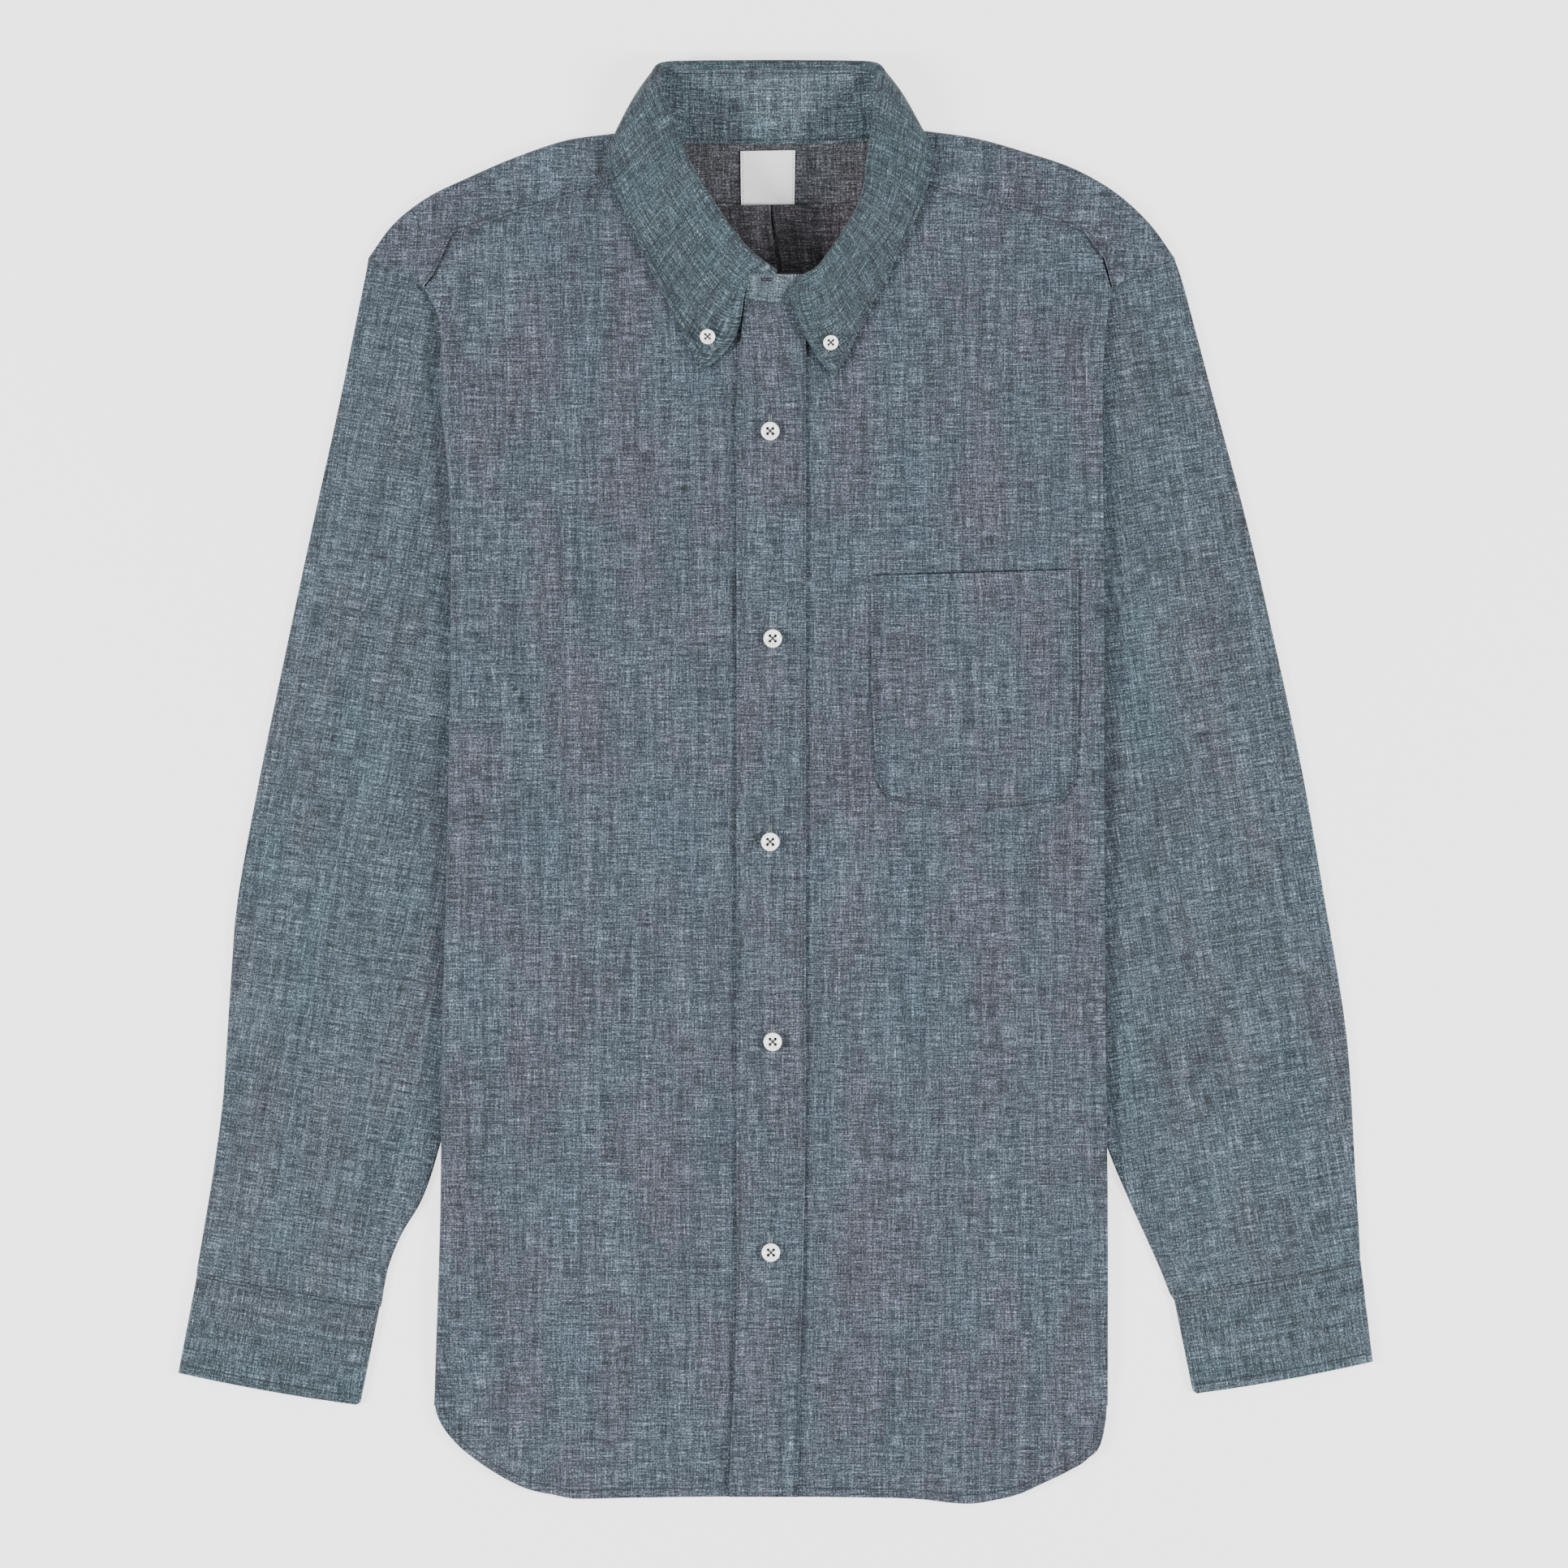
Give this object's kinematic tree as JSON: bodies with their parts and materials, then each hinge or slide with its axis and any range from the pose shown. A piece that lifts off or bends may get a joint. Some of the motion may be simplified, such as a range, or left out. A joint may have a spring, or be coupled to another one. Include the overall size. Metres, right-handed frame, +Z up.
{
  "type": "chambray work shirt",
  "caption": "Long-sleeved chambray work shirt with a button-down collar, front placket and one chest pocket, buttoned and laid flat on its back.",
  "frame": {"origin": "centre of the bounding box's base, on the surface that the shirt lies on", "axes": "+Z up from the surface to the front of the shirt, +Y from the hem to the collar, +X towards the wearer's left sleeve"},
  "size_m": [0.6768, 0.817, 0.0304],
  "materials": {
    "chambray": "plain-woven blue-green chambray with pale slubs",
    "label": "white woven label, plain",
    "button": "white, semi-gloss"
  },
  "bodies": {
    "root": {"back": "chambray", "yoke": "chambray", "front_right": "chambray", "front_left": "chambray", "sleeve_right": "chambray", "sleeve_left": "chambray", "cuff_right": "chambray", "cuff_left": "chambray", "placket": "chambray", "pocket": "chambray", "neck_label": "label", "collar_stand": "chambray", "collar_fall": "chambray", "button_1": "button", "button_2": "button", "button_3": "button", "button_4": "button", "button_5": "button", "collar_button_right": "button", "collar_button_left": "button"}
  },
  "joints": []
}
